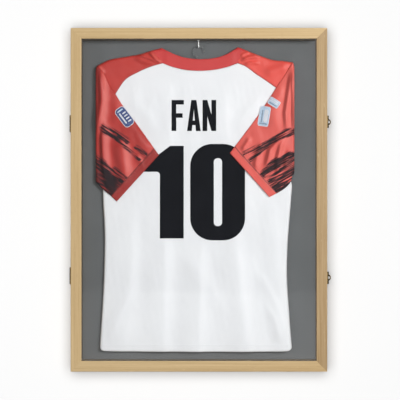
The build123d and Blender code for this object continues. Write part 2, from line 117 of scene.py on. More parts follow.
def nearest(x, z, line):
    """For each place: how far along the line it is, from 0 to 1, how far off it, and on which side."""
    line = np.asarray(line, float)
    lengths = np.linalg.norm(np.diff(line, axis=0), axis=1)
    starts = np.concatenate([[0.0], np.cumsum(lengths)])
    away = np.full(np.shape(x), np.inf)
    along = np.zeros(np.shape(x))
    side = np.zeros(np.shape(x))
    for a, b, start, length in zip(line, line[1:], starts, lengths):
        way = (b - a) / length
        dx, dz = x - a[0], z - a[1]
        reach = np.clip(dx * way[0] + dz * way[1], 0.0, length)
        off_x, off_z = dx - reach * way[0], dz - reach * way[1]
        far = np.hypot(off_x, off_z)
        closer = far < away
        away = np.where(closer, far, away)
        along = np.where(closer, (start + reach) / starts[-1], along)
        side = np.where(closer, np.sign(way[0] * off_z - way[1] * off_x), side)
    return along, away, side


def relief(x, z, folds):
    """Height of a set of folds, each with a line, its width left and right of that line, and a height."""
    total = np.zeros(np.shape(x))
    for line, left, right, height in folds:
        along, away, side = nearest(x, z, line)
        width = np.where(side > 0, left, right)
        ends = eased(np.minimum(along, 1 - along) / 0.3)
        total += height * ends * np.exp(-((away / width) ** 2))
    return total


def ripple(x, z, seed, size, lean=0.0, spread=0.5, waves=7):
    """A gentle unevenness of about unit height: seeded waves whose crests stand upright, but for lean."""
    random = np.random.default_rng(seed)
    total = np.zeros(np.shape(x))
    for _ in range(waves):
        angle = lean + spread * random.uniform(-1, 1)
        length = size * random.uniform(0.6, 1.7)
        phase = random.uniform(0, 2 * math.pi)
        total += np.sin(2 * math.pi * (x * math.cos(angle) + z * math.sin(angle)) / length + phase)
    return total / math.sqrt(waves)


# ---------------------------------------------------------------- meshes

def shown(name, mesh, material):
    """A smoothly shaded object of a mesh, put in the scene."""
    mesh.materials.append(material)
    mesh.polygons.foreach_set("use_smooth", [True] * len(mesh.polygons))
    mesh.update()
    made = bpy.data.objects.new(name, mesh)
    bpy.context.scene.collection.objects.link(made)
    return made


def mesh_object(name, vertices, faces, material):
    """An object from vertices in millimetres as (x, depth, z)."""
    vertices = np.asarray(vertices, float) * MM
    vertices[:, 1] *= -1
    mesh = bpy.data.meshes.new(name)
    mesh.from_pydata(vertices.tolist(), [], faces)
    return shown(name, mesh, material)


def thickened(sheet, thickness):
    """Gives a sheet its thickness, half of it to each side."""
    solid = sheet.modifiers.new("thickness", "SOLIDIFY")
    solid.thickness = thickness * MM
    solid.offset = 0.0
    return sheet


def grid_faces(rows, columns, closed=False):
    """Quads of a grid of points, facing the viewer where rows go up and columns go right."""
    index = np.arange(rows * columns).reshape(rows, columns)
    if closed:
        index = np.vstack([index, index[:1]])
    quads = np.stack([index[:-1, :-1], index[:-1, 1:], index[1:, 1:], index[1:, :-1]], axis=-1)
    return quads.reshape(-1, 4).tolist()


def hang(piece, slot, *replaced):
    """The piece moves with the hanging jersey and stands for those CAD nodes; its slot is not used."""
    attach(piece, "hanging_jersey")
    if replaced:
        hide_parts(*replaced)
    return piece


def cloth(name, flat_grid, depth, material, thickness, closed=False, **marks):
    """Cloth over a grid of x and z, at a depth for each point. Marks guide its material."""
    rows, columns = depth.shape
    points = np.stack([flat_grid[..., 0], depth, flat_grid[..., 1]], axis=-1).reshape(-1, 3)
    piece = mesh_object(name, points, grid_faces(rows, columns, closed), material)
    for mark, values in marks.items():
        attribute = piece.data.attributes.new(mark, "FLOAT", "POINT")
        attribute.data.foreach_set("value", values.astype(np.float32).ravel())
    return thickened(piece, thickness)


STITCH_PITCH = 3.4
STITCH_LENGTH = 2.5
THREAD_RADIUS = 0.3
# Along a stitch, from 0 to 1: its stations, and the thread's share of its radius at each
STITCH_STATIONS = (0.0, 0.2, 0.5, 0.8, 1.0)
STITCH_SWELL = (0.35, 0.9, 1.0, 0.9, 0.35)


def stitches(name, lines, depth, material, slot):
    """Rows of separate stitches along lines of x and z, each thread rising out of the cloth and back."""
    ring = np.linspace(0, 2 * math.pi, 6, endpoint=False)
    sides = len(ring)
    vertices, faces = [], []
    quads = grid_faces(len(STITCH_STATIONS), sides + 1)
    for line in lines:
        total = np.linalg.norm(np.diff(line, axis=0), axis=1).sum()
        places = resampled(line, max(3, int(total / STITCH_PITCH)) + 1)
        for a, b in zip(places, places[1:]):
            way = (b - a) / np.linalg.norm(b - a)
            start = (a + b) / 2 - way * STITCH_LENGTH / 2
            first = len(vertices)
            for t, swell in zip(STITCH_STATIONS, STITCH_SWELL):
                x, z = start + way * STITCH_LENGTH * t
                radius = THREAD_RADIUS * swell
                for angle in ring:
                    across = math.cos(angle) * radius
                    out = math.sin(angle) * radius + 0.5 * THREAD_RADIUS * math.sin(math.pi * t)
                    vertices.append((x - way[1] * across, out, z + way[0] * across))
            for face in quads:
                row, column = np.divmod(face, sides + 1)
                faces.append((first + row * sides + column % sides).tolist())
            last = len(vertices) - sides
            faces.append(list(range(first + sides - 1, first - 1, -1)))
            faces.append(list(range(last, last + sides)))
    vertices = np.array(vertices)
    vertices[:, 1] += depth(vertices[:, 0], vertices[:, 2])
    return hang(mesh_object(name, vertices, faces, material), slot)


FILM_THICKNESS = 0.3
FILM_STEP = 4.0


def sliced(bm, step):
    """Cuts a flat mesh in the X-Z plane along a square mesh of lines, so that it can follow folds."""
    for axis in (0, 2):
        values = [v.co[axis] for v in bm.verts]
        normal = Vector((axis == 0, 0, axis == 2))
        for place in np.arange(math.floor(min(values) / step) + 1, max(values) / step) * step:
            geometry = bm.verts[:] + bm.edges[:] + bm.faces[:]
            bmesh.ops.bisect_plane(bm, geom=geometry, plane_co=normal * place, plane_no=normal, dist=1e-7)


def draped_print(name, node, depth, material, slot):
    """The front faces of a CAD node, laid over cloth at a depth and given the thickness of film."""
    bm = bmesh.new()
    bm.from_mesh(nodes[node].data)
    bm.normal_update()
    bmesh.ops.delete(bm, geom=[f for f in bm.faces if f.normal.y > -0.9], context="FACES")
    bmesh.ops.remove_doubles(bm, verts=bm.verts, dist=1e-6)
    sliced(bm, FILM_STEP * MM)
    for vertex in bm.verts:
        x, z = vertex.co.x / MM, vertex.co.z / MM
        vertex.co.y = -float(depth(np.array(x), np.array(z))) * MM
    mesh = bpy.data.meshes.new(name)
    bm.to_mesh(mesh)
    bm.free()
    return hang(thickened(shown(name, mesh, material), FILM_THICKNESS), slot, node)


# ---------------------------------------------------------------- materials

class Paint:
    """A Principled material, with short calls for the nodes that drive it."""

    def __init__(self, name, **values):
        self.material = bpy.data.materials.new(name)
        self.material.use_nodes = True
        self.tree = self.material.node_tree
        self.surface = self.tree.nodes["Principled BSDF"]
        for key, value in values.items():
            self.surface.inputs[key.replace("_", " ")].default_value = value
        self.object_place = self.node("TexCoord").outputs["Object"]

    def node(self, kind, inputs=None, **settings):
        made = self.tree.nodes.new("ShaderNode" + kind)
        for key, value in settings.items():
            setattr(made, key, value)
        for key, value in (inputs or {}).items():
            if isinstance(value, bpy.types.NodeSocket):
                self.tree.links.new(value, made.inputs[key])
            else:
                made.inputs[key].default_value = value
        return made

    def place(self, scale=(1, 1, 1), turn=(0, 0, 0), shift=(0, 0, 0)):
        inputs = {"Vector": self.object_place, "Scale": scale, "Rotation": turn, "Location": shift}
        return self.node("Mapping", inputs).outputs["Vector"]

    def noise(self, place, scale, detail=3.0, roughness=0.5, distortion=0.0):
        inputs = {"Vector": place, "Scale": scale, "Detail": detail}
        inputs.update({"Roughness": roughness, "Distortion": distortion})
        return self.node("TexNoise", inputs).outputs["Fac"]

    def wave(self, place, scale, distortion, detail, direction):
        inputs = {"Vector": place, "Scale": scale, "Distortion": distortion, "Detail": detail}
        return self.node("TexWave", inputs, bands_direction=direction).outputs["Fac"]

    def between(self, value, low, high, to_low=0.0, to_high=1.0):
        inputs = {"Value": value, "From Min": low, "From Max": high, "To Min": to_low, "To Max": to_high}
        return self.node("MapRange", inputs).outputs["Result"]

    def mark(self, name):
        return self.node("Attribute", attribute_name=name).outputs["Fac"]

    def calc(self, operation, a, b=0.0):
        return self.node("Math", {0: a, 1: b}, operation=operation).outputs[0]

    def mix(self, factor, a, b):
        made = self.node("Mix", {0: factor}, data_type="RGBA")
        for index, value in ((6, a), (7, b)):
            if isinstance(value, bpy.types.NodeSocket):
                self.tree.links.new(value, made.inputs[index])
            else:
                made.inputs[index].default_value = (*value, 1.0)
        return made.outputs[2]

    def bump(self, height, strength, distance, after=None):
        inputs = {"Height": height, "Strength": strength, "Distance": distance}
        if after is not None:
            inputs["Normal"] = after
        return self.node("Bump", inputs).outputs["Normal"]

    def finish(self, colour=None, roughness=None, normal=None):
        for key, value in (("Base Color", colour), ("Roughness", roughness), ("Normal", normal)):
            if value is not None:
                self.tree.links.new(value, self.surface.inputs[key])
        return self.material

    def show_mix(self, share, first, second):
        """Shows the first shader, and the second in its place as far as share says."""
        mixed = self.node("MixShader", {0: share, 1: first, 2: second}).outputs["Shader"]
        self.tree.links.new(mixed, self.tree.nodes["Material Output"].inputs["Surface"])


def shade(colour, share):
    """The colour at a share of its lightness."""
    return [channel * share for channel in colour]


def oak(name, along, seed, tone, warmth):
    """Clear matt lacquered oak whose grain runs along X or Z, with a lightness and warmth set for each rail,
    which on some rails is painted shade.
    """
    paint = Paint(name, Roughness=0.5, Specular_IOR_Level=0.2, Coat_Weight=0.06, Coat_Roughness=0.35)

    def grained(length, across):
        scale = (length, across, across) if along == "X" else (across, across, length)
        return paint.place(scale, shift=(seed * 1.7, seed * 0.9, seed * 2.3))

    bands = paint.noise(grained(0.9, 16.0), 1.0, 2.0, 0.5, 0.6)
    fine = paint.noise(grained(6.0, 420.0), 1.0, 4.0, 0.6, 0.2)
    rings = paint.wave(grained(0.8, 26.0), 1.3, 5.0, 3.0, "X" if along == "Z" else "Z")
    pores = paint.between(paint.noise(grained(45.0, 1500.0), 1.0, 2.0, 0.5), 0.62, 0.72)
    flecks = paint.between(paint.noise(grained(60.0, 260.0), 1.0, 2.0, 0.4), 0.68, 0.76)
    tones = (tone, tone / warmth, tone / warmth**2)
    light = [channel * share for channel, share in zip((0.64, 0.462, 0.236), tones)]
    deep = [channel * share for channel, share in zip((0.50, 0.332, 0.145), tones)]
    colour = paint.mix(paint.between(bands, 0.3, 0.7), deep, light)
    colour = paint.mix(paint.between(rings, 0.35, 0.95, 0.0, 0.30), colour, deep)
    colour = paint.mix(paint.between(fine, 0.35, 0.7, 0.0, 0.34), colour, (0.72, 0.55, 0.33))
    colour = paint.mix(paint.calc("MULTIPLY", pores, 0.42), colour, (0.27, 0.155, 0.065))
    colour = paint.mix(paint.calc("MULTIPLY", flecks, 0.22), colour, (0.76, 0.60, 0.38))
    roughness = paint.between(fine, 0.2, 0.8, 0.42, 0.6)
    normal = paint.bump(fine, 0.25, 0.0002, paint.bump(pores, -0.35, 0.0002))
    return paint.finish(colour, roughness, normal)


def painted_shade_bead():
    """Small wooden beads painted very dark brown as painted shade, standing in for the shade along the
    inside of the frame's lip, and rubbed a little lighter in streaks.
    """
    paint = Paint("bead_painted_shade", Roughness=0.55)
    streaks = paint.noise(paint.place((140, 140, 140)), 1.0, 4.0, 0.6, 1.0)
    colour = paint.mix(paint.between(streaks, 0.35, 0.7), (0.040, 0.030, 0.021), (0.085, 0.064, 0.045))
    roughness = paint.between(streaks, 0.3, 0.7, 0.45, 0.65)
    return paint.finish(colour, roughness, paint.bump(streaks, 0.3, 0.0002))


ACRYLIC_IOR = 1.49


def clear_sheet():
    """Clear acrylic with faint wiping marks, which reflects more towards grazing views."""
    paint = Paint("clear_acrylic", Base_Color=(0.9, 0.95, 0.95, 1.0), Roughness=0.06, IOR=ACRYLIC_IOR)
    smears = paint.noise(paint.place((9, 9, 22)), 1.0, 5.0, 0.65, 1.2)
    blur = paint.between(smears, 0.4, 0.8, 0.03, 0.11)
    paint.finish(roughness=blur)
    through = paint.node("BsdfTransparent", {"Color": (0.985, 0.992, 0.990, 1.0)}).outputs["BSDF"]
    mirror = paint.node("BsdfGlossy", {"Color": (1.0, 1.0, 1.0, 1.0), "Roughness": blur}).outputs["BSDF"]
    # Only the face that light enters by reflects, or a steep view would be mirrored back inside the sheet
    outer_face = paint.calc("SUBTRACT", 1.0, paint.node("NewGeometry").outputs["Backfacing"])
    share = paint.calc("MULTIPLY", paint.node("Fresnel", {"IOR": ACRYLIC_IOR}).outputs[0], outer_face)
    paint.show_mix(share, through, mirror)
    return paint.material


def fibreboard():
    """The smooth brown pressed face of hardboard, with its short fibres."""
    paint = Paint("hardboard", Roughness=0.7)
    clouds = paint.noise(paint.place(), 14.0, 4.0, 0.6)
    fibres = paint.noise(paint.place((500, 900, 2400), (0, 0.5, 0)), 1.0, 3.0, 0.7, 0.8)
    colour = paint.mix(paint.between(clouds, 0.3, 0.7), (0.200, 0.115, 0.062), (0.285, 0.175, 0.098))
    colour = paint.mix(paint.between(fibres, 0.45, 0.75, 0.0, 0.5), colour, (0.40, 0.28, 0.17))
    roughness = paint.between(clouds, 0.2, 0.8, 0.55, 0.75)
    return paint.finish(colour, roughness, paint.bump(fibres, 0.3, 0.0002))


def card():
    """Grey mount card with a speckled pulp face."""
    paint = Paint("mount_card", Roughness=0.85)
    specks = paint.noise(paint.place(), 900.0, 3.0, 0.7)
    colour = paint.mix(paint.between(specks, 0.35, 0.7), (0.30, 0.29, 0.27), (0.42, 0.41, 0.39))
    return paint.finish(colour, None, paint.bump(specks, 0.3, 0.0002))


def grey_felt():
    """Short brushed felt: cool grey, mottled, with fine fibres lying in every direction."""
    paint = Paint("grey_felt_pile", Roughness=0.95, Sheen_Weight=0.25, Sheen_Roughness=0.5)
    clouds = paint.noise(paint.place(), 9.0, 4.0, 0.6)
    one_way = paint.noise(paint.place((700, 700, 2600), (0, 0.6, 0)), 1.0, 3.0, 0.7, 1.5)
    other_way = paint.noise(paint.place((2400, 700, 800), (0, -0.4, 0)), 1.0, 3.0, 0.7, 1.5)
    fibres = paint.calc("MULTIPLY", one_way, other_way)
    colour = paint.mix(paint.between(clouds, 0.3, 0.7), (0.104, 0.108, 0.112), (0.122, 0.126, 0.131))
    colour = paint.mix(paint.between(fibres, 0.2, 0.4, 0.0, 0.45), colour, (0.18, 0.185, 0.19))
    return paint.finish(colour, None, paint.bump(fibres, 0.6, 0.0006))


def clear_plastic():
    """Moulded clear plastic with faint flow marks."""
    paint = Paint("clear_moulding", Base_Color=(0.17, 0.18, 0.18, 1.0), Alpha=0.30, IOR=1.46)
    flow = paint.noise(paint.place((30, 200, 60)), 1.0, 3.0, 0.6, 1.0)
    return paint.finish(None, paint.between(flow, 0.3, 0.7, 0.05, 0.2), paint.bump(flow, 0.15, 0.0002))


def white_enamel():
    """Wire dipped in glossy white enamel, a little uneven where it ran."""
    paint = Paint("white_enamel", Roughness=0.25, Coat_Weight=0.4, Coat_Roughness=0.12)
    runs = paint.noise(paint.place((180, 180, 60)), 1.0, 3.0, 0.55)
    colour = paint.mix(paint.between(runs, 0.3, 0.7), (0.83, 0.83, 0.81), (0.92, 0.92, 0.90))
    return paint.finish(colour, paint.between(runs, 0.3, 0.7, 0.18, 0.34), paint.bump(runs, 0.2, 0.0002))


def plated(name, dark, light, roughness):
    """Plated metal with a fine random scratch pattern and soft patches of tarnish."""
    paint = Paint(name, Metallic=1.0)
    patches = paint.noise(paint.place(), 130.0, 4.0, 0.65)
    scratches = paint.noise(paint.place((900, 900, 4200), (0.3, 0.5, 0)), 1.0, 2.0, 0.6)
    colour = paint.mix(paint.between(patches, 0.35, 0.7), dark, light)
    worn = paint.between(patches, 0.3, 0.7, roughness + 0.12, roughness)
    return paint.finish(colour, worn, paint.bump(scratches, 0.3, 0.0001))


def antique_brass():
    """Brass with a dark patina that is rubbed bright where edges stand out."""
    paint = Paint("antique_brass_patina", Metallic=1.0)
    patches = paint.noise(paint.place(), 260.0, 4.0, 0.65)
    softened = paint.node("Bevel", {"Radius": 0.0008}, samples=6).outputs["Normal"]
    true_normal = paint.node("NewGeometry").outputs["Normal"]
    facing = paint.node("VectorMath", {0: softened, 1: true_normal}, operation="DOT_PRODUCT")
    edges = paint.between(paint.calc("SUBTRACT", 1.0, facing.outputs["Value"]), 0.03, 0.18)
    rubbed = paint.calc("MULTIPLY", edges, paint.between(patches, 0.3, 0.6, 0.3, 1.0))
    colour = paint.mix(paint.between(patches, 0.35, 0.7), (0.010, 0.008, 0.006), (0.048, 0.034, 0.018))
    colour = paint.mix(rubbed, colour, (0.50, 0.36, 0.17))
    roughness = paint.between(patches, 0.3, 0.7, 0.48, 0.32)
    return paint.finish(colour, roughness, paint.bump(patches, 0.25, 0.0001))


# Scales of wave textures, whose bands lie 0.314 m / scale apart
WALE_SCALE = 1300.0 / 6
COURSE_SCALE = 260.0
STRAND_SCALE = 250.0


def knit(paint, strength):
    """Bump of jersey knit: upright wales 1.45 mm apart, crossed by courses 1.2 mm apart."""
    wales = paint.wave(paint.place(), WALE_SCALE, 0.6, 1.0, "X")
    courses = paint.wave(paint.place(), COURSE_SCALE, 0.6, 1.0, "Z")
    loops = paint.calc("MULTIPLY", wales, courses)
    return loops, paint.bump(loops, strength, 0.00025)


def white_knit():
    """White polyester knit, very slightly mottled."""
    paint = Paint("white_knit", Roughness=0.62, Sheen_Weight=0.12, Sheen_Roughness=0.4)
    clouds = paint.noise(paint.place(), 12.0, 3.0, 0.5)
    loops, normal = knit(paint, 0.22)
    colour = paint.mix(paint.between(clouds, 0.3, 0.7), (0.790, 0.782, 0.808), (0.836, 0.828, 0.852))
    # Painted shade in the gaps between the knit's loops
    colour = paint.mix(paint.between(loops, 0.0, 1.0, 0.06, 0.0), colour, (0.60, 0.61, 0.63))
    return paint.finish(colour, paint.between(loops, 0.0, 1.0, 0.7, 0.55), normal)


def soaked_ink(paint, lean):
    """How much ink the cloth holds: where it is marked, as brush hairs and blots that lean one way."""
    turned = paint.place((1, 1, 1), (0, lean, 0))
    hair_place = paint.node("Mapping", {"Vector": turned, "Scale": (17, 1, 430)}).outputs[0]
    blot_place = paint.node("Mapping", {"Vector": turned, "Scale": (26, 1, 110)}).outputs[0]
    hairs = paint.between(paint.noise(hair_place, 1.0, 3.0, 0.6, 0.5), 0.38, 0.62, 0.0, 0.84)
    blots = paint.between(paint.noise(blot_place, 1.0, 3.0, 0.6, 0.8), 0.34, 0.68, 0.0, 0.32)
    return paint.calc("MULTIPLY", paint.mark("ink"), paint.calc("ADD", hairs, blots))


# Colours of the painted highlight on folds, and of thin and full ink
PAINTED_FOLD_HIGHLIGHT = (0.84, 0.19, 0.16)
THIN_INK = (0.115, 0.016, 0.022)
FULL_INK = (0.012, 0.009, 0.012)


def red_knit(name, base, bright, lean=None, painted_cuff_shade=1.0, satin=True):
    """Red polyester knit. A satin one is painted lighter and darker over its folds as marked, painted
    highlight and painted shade, and one with a lean has a cuff painted at its own share of the colour, as
    painted shade, a painted shade line along the cuff seam, and brush streaks of ink."""
    paint = Paint(name, Roughness=0.38, Specular_IOR_Level=0.26, Sheen_Weight=0.08, Sheen_Roughness=0.35)
    paint.surface.inputs["Sheen Tint"].default_value = (1.0, 0.55, 0.5, 1.0)
    clouds = paint.noise(paint.place(), 10.0, 3.0, 0.5)
    loops, normal = knit(paint, 0.25)
    colour = paint.mix(paint.between(clouds, 0.3, 0.7), base, bright)
    # Painted shade in the gaps between the knit's loops
    colour = paint.mix(paint.between(loops, 0.0, 1.0, 0.18, 0.0), colour, shade(base, 0.45))
    roughness = paint.between(loops, 0.0, 1.0, 0.47, 0.33)
    # Painted highlight and painted shade: lighter where a fold's side faces the key light on the right,
    # darker where it faces away
    if satin:
        nap = paint.mark("nap")
        colour = paint.mix(paint.between(nap, 0.0, 0.5, 0.85, 0.0), colour, shade(base, 0.50))
        colour = paint.mix(paint.between(nap, 0.5, 1.0, 0.0, 0.50), colour, PAINTED_FOLD_HIGHLIGHT)
    if lean is not None:
        cuff = paint.mark("cuff")
        from_seam = paint.calc("ABSOLUTE", paint.calc("SUBTRACT", cuff, 0.5))
        # Painted shade: the cuff at its own share of the base colour, and a dark line along the seam between
        # sleeve and cuff
        colour = paint.mix(cuff, colour, shade(base, painted_cuff_shade))
        colour = paint.mix(paint.between(from_seam, 0.15, 0.46, 0.85, 0.0), colour, shade(base, 0.20))
        soaked = soaked_ink(paint, lean)
        colour = paint.mix(paint.between(soaked, 0.26, 0.46, 0.0, 0.75), colour, THIN_INK)
        colour = paint.mix(paint.between(soaked, 0.40, 0.58, 0.0, 0.97), colour, FULL_INK)
        roughness = paint.calc("ADD", roughness, paint.between(soaked, 0.26, 0.58, 0.0, 0.42))
    return paint.finish(colour, roughness, normal)


def black_film():
    """Matt black heat-pressed film with the knit just showing through."""
    paint = Paint("matt_black_film", Roughness=0.6, Specular_IOR_Level=0.02)
    clouds = paint.noise(paint.place(), 25.0, 3.0, 0.5)
    _, normal = knit(paint, 0.08)
    deep, light = (0.0050, 0.0056, 0.0082), (0.0075, 0.0083, 0.0115)
    colour = paint.mix(paint.between(clouds, 0.3, 0.7), deep, light)
    return paint.finish(colour, paint.between(clouds, 0.3, 0.7, 0.5, 0.65), normal)


def thread(name, colour, lean=0.0):
    """Satin embroidery or sewing thread, with its strands lying side by side."""
    paint = Paint(name, Roughness=0.4, Sheen_Weight=0.3)
    strands = paint.wave(paint.place((1, 1, 1), (0, lean, 0)), STRAND_SCALE, 1.5, 2.0, "X")
    # Painted shade in the grooves between the strands
    strands_with_painted_shade = paint.mix(strands, shade(colour, 0.62), colour)
    roughness = paint.between(strands, 0.0, 1.0, 0.5, 0.32)
    return paint.finish(strands_with_painted_shade, roughness, paint.bump(strands, 0.5, 0.0003))


# ---------------------------------------------------------------- finishes of the CAD nodes

def coat(material, *names):
    """Gives every CAD node whose name starts so the material."""
    for node_name, piece in nodes.items():
        if node_name.startswith(names):
            piece.data.materials.clear()
            piece.data.materials.append(material)


# Each rail's direction of grain, how light its wood is, and how warm. The right rail's much darker, warmer
# wood is painted shade, and so is the bottom rail's slightly darker wood.
RAILS = {
    "top": ("X", 0.90, 1.0),
    "right": ("Z", 0.55, 1.09),
    "bottom": ("X", 0.86, 1.0),
    "left": ("Z", 0.90, 1.0),
}
for number, part in enumerate(("box", "door")):
    for place, (side, (along, tone, warmth)) in enumerate(RAILS.items()):
        seed = 3.1 + 10.8 * number + 2.7 * place
        coat(oak(f"oak_{part}_{side}", along, seed, tone, warmth), f"{part}_rail_{side}")

brass = antique_brass()
zinc = plated("zinc_plate", (0.42, 0.43, 0.45), (0.66, 0.67, 0.69), 0.34)
coat(clear_sheet(), "glazing")
coat(painted_shade_bead(), "glazing_bead")
coat(fibreboard(), "back_panel")
coat(card(), "lining_card")
coat(grey_felt(), "felt_lining")
coat(zinc, "back_panel_screws", "hanging_plate", "box_corner_nails", "door_corner_nails")
coat(brass, "hinge_", "hasp_", "catch_plate", "staple")
coat(clear_plastic(), "hanger")
coat(white_enamel(), "cup_hook")


# ---------------------------------------------------------------- the jersey

KNIT_THICKNESS = 0.6
HEM_DEPTH = 17.0
CUFF_DEPTH = 18.0
GRID_STEP = 3.2
CLOTH_LIMIT = 28.6
SIDE_ROLL = 4.5
SHOULDER_ROLL = 6.0
SLEEVE_ROLL = 8.0
TURN_RADIUS = 5.0

felt_front = -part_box("felt_lining")[0].y / MM
viewer_panel = -(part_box("jersey_back_panel")[0].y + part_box("jersey_back_panel")[1].y) / 2 / MM
wall_panel = felt_front + 2.0
seam_depth = (viewer_panel + wall_panel) / 2 - 0.6
hanger_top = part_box("hanger")[1].z / MM
hem_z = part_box("jersey_back_panel")[0].z / MM + 2.0

# Outlines of the laid-out jersey, left and right, each from the collar or the shoulder downward
RAGLAN = {
    -1: [(-86, 322), (-114, 314), (-144, 301), (-174, 283), (-197, 250)],
    1: [(92, 322), (111, 314), (134, 297), (158, 281), (182, 264)],
}
ARMHOLE = {
    -1: [(-197, 250), (-210, 186), (-220, 110), (-226, 36)],
    1: [(182, 264), (197, 196), (208, 120), (213, 50)],
}
SIDE = {
    -1: [(-226, 36), (-226, 0), (-222, -90), (-225, -210), (-232, -322), (-233, -348)],
    1: [(213, 50), (219, 34), (217, 0), (209.5, -98), (207.5, -180), (214, -285), (219, -348)],
}
SHOULDER = {
    -1: [(-88, 358), (-117, 350), (-140, 343), (-168, 338), (-209, 330.6), (-241, 316)],
    1: [(92, 360), (112, 352), (130, 345), (170.5, 330.6), (198, 327.5), (222, 324)],
}
FOLD_X = {-1: -243.0, 1: 224.6}
FOLD_LOW = {-1: 38.0, 1: 58.0}
INNER_EDGE = {
    -1: [(-237.5, 314.8), (-223, 294), (-212, 270), (-197, 249), (-179, 221), (-150, 183), (-94.5, 105.4)],
    1: [(218, 322), (202, 293), (182.5, 264.5), (159, 228), (134, 191), (105, 152), (73, 110)],
}
CUFF = {-1: [(-193.5, -4), (-94.5, 105.4)], 1: [(166, 6.6), (73, 110)]}
LOWER_EDGE = {
    -1: [(-238, 38), (-222, 21), (-207, 9), (-193.5, -4)],
    1: [(219.6, 58), (217, 45), (208, 32.5), (193, 21), (166, 6.6)],
}
NECK_SEAM = [(-86, 322), (-60, 312.5), (-30, 306), (2, 304), (36, 306.5), (66, 313), (92, 322)]
NECK_TOP = [(-88, 358), (-62, 344.5), (-32, 334.5), (2.5, 331), (36, 333.5), (66, 343), (92, 360)]
COLLAR_SEAM = [[(-113, 346.5), (-99, 334), (-86, 322)], NECK_SEAM, [(92, 322), (103, 335), (115, 347)]]
COLLAR_TOP = [[(-113, 351), (-88, 358)], NECK_TOP, [(92, 360), (115, 351)]]
FRONT_NECK_SEAM = [(-86, 322), (-66, 290), (-34, 264), (2, 255), (38, 264), (70, 290), (92, 322)]
FRONT_NECK_TOP = [(-88, 358), (-58, 308), (-28, 288), (2, 281), (32, 288), (62, 308), (92, 360)]

# Folds of the hanging body: line, width to its left and right going along it, height
BODY_FOLDS = [
    ([(-163, 20), (-158, -110), (-168, -240), (-186, -430)], 16, 44, 1.5),
    ([(-84, -10), (-82, -120), (-84, -230), (-86, -450)], 15, 40, 2.4),
    ([(1, -60), (2, -150), (0, -240), (-2, -450)], 13, 38, 2.9),
    ([(84, -30), (88, -130), (100, -230), (122, -450)], 14, 34, 2.7),
    ([(172, 20), (178, -90), (190, -200), (214, -450)], 14, 26, 2.0),
    ([(-62, -112), (-22, -150), (20, -196), (62, -280)], 16, 24, 0.9),
    ([(118, -150), (152, -190), (182, -250), (206, -330)], 9, 16, 1.0),
    ([(150, -230), (176, -280), (196, -340)], 7, 12, 0.8),
    ([(-158, -200), (-186, -270), (-214, -340)], 10, 18, 0.9),
    ([(-74, 296), (-72, 240), (-72, 190), (-70, 110)], 12, 30, 1.1),
    ([(58, 288), (60, 230), (62, 180), (60, 110)], 12, 26, 1.0),
    ([(-166, 262), (-146, 226), (-120, 190), (-96, 150)], 12, 20, 1.0),
    ([(150, 252), (128, 224), (100, 190), (72, 158)], 20, 12, 1.0),
    ([(-110, 256), (-118, 214), (-112, 180)], 12, 18, 0.6),
]


def below_glass(depth):
    """A depth kept short of the beads, bending over smoothly where it would reach them."""
    return CLOTH_LIMIT - np.logaddexp(0.0, CLOTH_LIMIT - depth)


def body_depth(x, z):
    """Depth of the viewer's side of the body: calm over the hanger, with folds that deepen to the hem."""
    free = eased((hanger_top - 28.0 - z) / 60.0)
    folds = 2.7 * relief(x, z, BODY_FOLDS)
    waves = 0.30 * ripple(x, z, 3, 58.0) + 0.12 * ripple(x, z, 8, 17.0, 0.3, 1.2)
    sag = 0.5 * eased((60.0 - z) / 360.0)
    return viewer_panel - 0.9 + 0.4 * (1 - free) + free * (folds + waves - sag)


def lining_depth(x, z):
    """Depth of the side of the jersey that faces the felt."""
    return wall_panel + 0.35 * ripple(x, z, 21, 80.0)


def side_roll(grid, depth):
    """Turns the cloth's outer side edges in to the seam between its two panels."""
    for side in (-1, 1):
        _, away, _ = nearest(grid[..., 0], grid[..., 1], smooth_line(SIDE[side], 40))
        depth = seam_depth + (depth - seam_depth) * rounded(away, SIDE_ROLL)
    return depth


def torso_grid(neck, step):
    """The body panel's grid: hem, side seams and armholes, raglan seams and neck."""
    columns = [int(100 / step), int(180 / step), int(95 / step)]
    top = joined([RAGLAN[-1][::-1], neck, RAGLAN[1]], columns)
    hem = [(-233, -348), (-229, -354), (-214, -356.5), (-120, -357.5), (0, hem_z)]
    hem += [(110, -358), (200, -357), (214, -354), (219, -348)]
    rows = [int(390 / step), int(215 / step)]
    edges = {side: joined([SIDE[side][::-1], ARMHOLE[side][::-1]], rows) for side in (-1, 1)}
    bottom = resampled(smooth_line(hem, 400), len(top))
    return between_edges(bottom, top, edges[-1], edges[1])


def torso(name, neck, depth_at, material, step):
    """One of the body's two panels, with a band along its hem."""
    grid = torso_grid(neck, step)
    depth = depth_at(grid[..., 0], grid[..., 1])
    hem_band = eased((hem_z + HEM_DEPTH - grid[..., 1]) / 2.0)
    outward = 1.0 if depth_at is body_depth else -1.0
    depth = side_roll(grid, depth + outward * 0.6 * hem_band)
    return cloth(name, grid, depth, material, KNIT_THICKNESS)


white = white_knit()
# The left sleeve and shoulder are painted darker, as painted shade, and the right ones lighter, as painted
# light; the left sleeve's cuff is painted darker still
red_left = red_knit("red_knit_left_painted_shade", (0.460, 0.030, 0.024), (0.540, 0.042, 0.034), -0.60, 0.68)
red_right = red_knit("red_knit_right_painted_light", (0.710, 0.098, 0.080), (0.800, 0.130, 0.105), 0.50, 1.02)
red_plain_left = red_knit("red_knit_shoulder_left_painted_shade", (0.480, 0.032, 0.025), (0.560, 0.044, 0.034))
red_plain_right = red_knit("red_knit_shoulder_right_painted_light", (0.750, 0.076, 0.058), (0.840, 0.096, 0.074))
red_rib = red_knit("red_rib_collar", (0.560, 0.036, 0.036), (0.650, 0.052, 0.050), satin=False)
red_thread = thread("red_sewing_thread", (0.42, 0.045, 0.045))
white_thread = thread("white_sewing_thread", (0.70, 0.71, 0.73))

